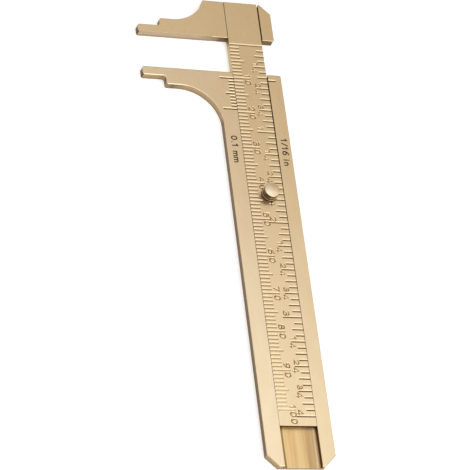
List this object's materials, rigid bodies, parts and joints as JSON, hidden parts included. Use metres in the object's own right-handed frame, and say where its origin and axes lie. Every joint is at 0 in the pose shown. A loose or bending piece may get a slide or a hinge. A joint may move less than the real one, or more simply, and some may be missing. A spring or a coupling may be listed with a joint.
{
  "type": "pocket slide caliper",
  "caption": "Flat brass pocket slide caliper: a frame with a fixed jaw and vernier, and a dovetail slide bar carrying scales, a sliding jaw and a thumb stud.",
  "frame": {"origin": "on the back face, on the groove's centre line, at the fixed jaw's measuring face", "axes": "+X across the frame towards the inch rail, +Y along the slide in the opening direction, +Z out of the scale face"},
  "size_m": [0.0364, 0.1268, 0.0048],
  "materials": {
    "brushed_brass": "fine brushed satin",
    "polished_brass": "turned and polished",
    "spring_bronze": "rolled"
  },
  "bodies": {
    "frame": {"frame": "brushed_brass", "friction_spring": "spring_bronze", "stop_pin": "spring_bronze"},
    "slide": {"slide_bar": "brushed_brass", "sliding_jaw": "brushed_brass", "jaw_rivets": "brushed_brass", "thumb_stud": "polished_brass"}
  },
  "joints": [
    {"name": "jaw_slide", "type": "slide", "parent": "frame", "child": "slide", "axis": [0, 1, 0], "range_m": [-0.0102, 0.0898]}
  ]
}
